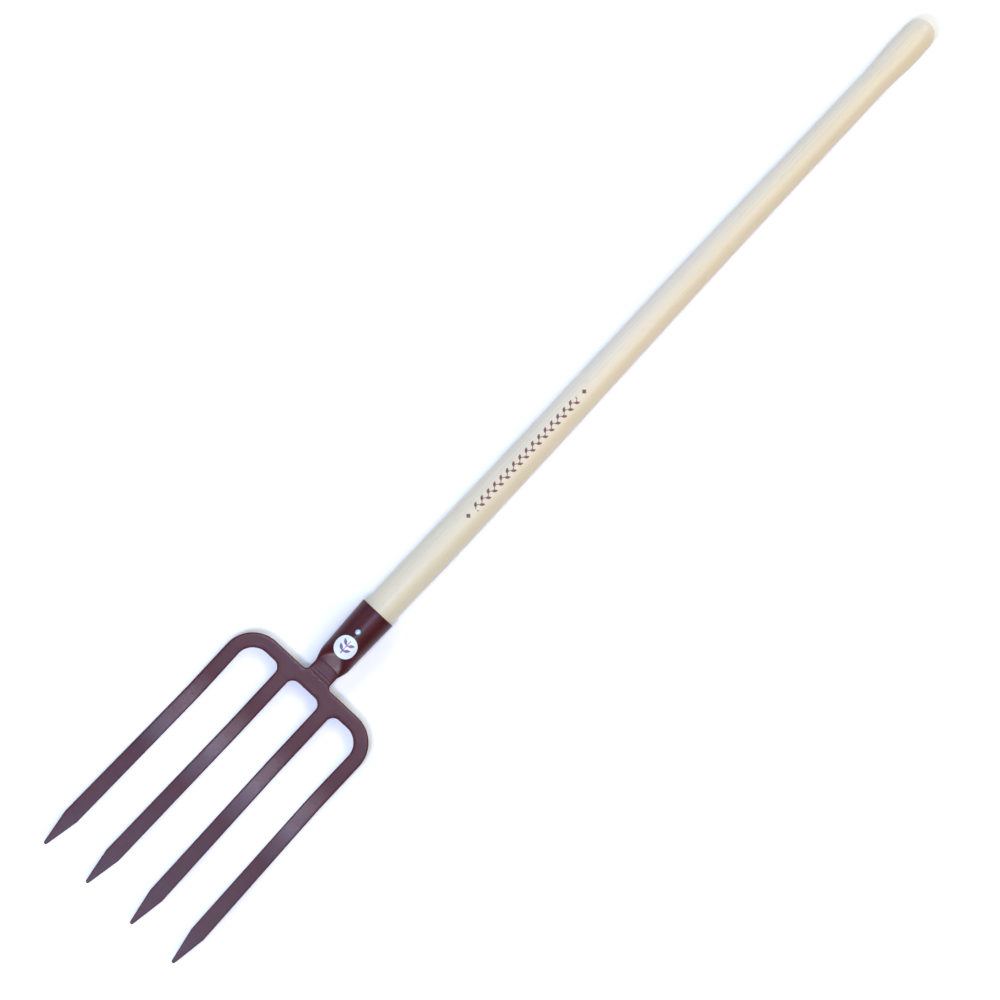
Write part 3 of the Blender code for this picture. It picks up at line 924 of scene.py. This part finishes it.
def light_handle():
    """Ceiling lights along the handle, warmer to its right than to its left."""
    add_ceiling_light("left_strip", 0, 1.6, (0.8, 0.8), (1.2, 1.2, 4))
    add_ceiling_light("right_strip", 0, -1.6, (0.8, 0.8), (3.9, 3, 2.2))
    add_ceiling_light("left_fill", 1.2, 1.6, (1.6, 0.8), (4.6, 4.6, 1.6))
    add_ceiling_light("right_fill", 1.2, -1.6, (1.6, 0.8), (4, 3.3, 2.6))
    add_ceiling_light("handle_right", 0.8, -0.8, (0.8, 0.8), (5, 4.2, 2.8))
    add_ceiling_light("handle_end", 1.6, 0, (0.8, 0.8), (8, 7.9, 7.2))


def light_sides():
    """Cool lights to the left and past the knob, and low ones past the points that shine on the socket."""
    socket_foot = (CREASE_X, 0, 20 * MM)
    add_light("left_box", (-0.3, 2.6, 2.4), (-0.25, 0, 0), (1, 0.8), (1.1, 2.6, 2.2))
    add_light("left_side", (0, 3.6, 1.3), (0, 0, 0), (2, 2), (0.2, 0.3, 1.2))
    add_light("knob_side", (3.6, 0, 1.3), (0, 0, 0), (2, 2), (3, 3.6, 5.6))
    add_light("low_left", (-2.2, 0.25, 0.5), socket_foot, (0.5, 0.4), (24, 23, 27))
    add_light("low_right", (-2.2, -0.3, 0.5), socket_foot, (0.5, 0.4), (4.6, 6.5, 8.8))


CAMERA_TURN = math.radians(-47.03)
CAMERA_AIM = (-41.3 * MM, -12.15 * MM)
CAMERA_HEIGHT = 8.0
FIELD_HEIGHT = 20 * MM  # the level in the fork where the field's width is measured
FIELD_WIDTH = 1038.2 * MM


def make_camera():
    """Straight above, turned so that the handle runs up to the right."""
    data = bpy.data.cameras.new("camera")
    data.sensor_width = 36
    data.lens = data.sensor_width * (CAMERA_HEIGHT - FIELD_HEIGHT) / FIELD_WIDTH
    data.clip_end = 100
    camera = bpy.data.objects.new("camera", data)
    camera.location = (*CAMERA_AIM, CAMERA_HEIGHT)
    camera.rotation_euler = (0, 0, CAMERA_TURN)
    bpy.context.scene.collection.objects.link(camera)
    bpy.context.scene.camera = camera


def main():
    """Sets up the studio, then makes the fork."""
    bpy.context.scene.view_settings.view_transform = "Standard"
    make_camera()
    make_floor()
    make_world()
    light_head()
    light_handle()
    light_sides()
    paint = plum_paint()
    make_fork_plate(paint)
    make_socket(paint)
    make_weld("front_weld_bead", "neck_weld_front", 1, paint)
    make_weld("back_weld_bead", "neck_weld_back", -1, paint)
    make_handle(pale_wood())
    make_rivet(bright_zinc())
    make_label(printed_vinyl())


main()
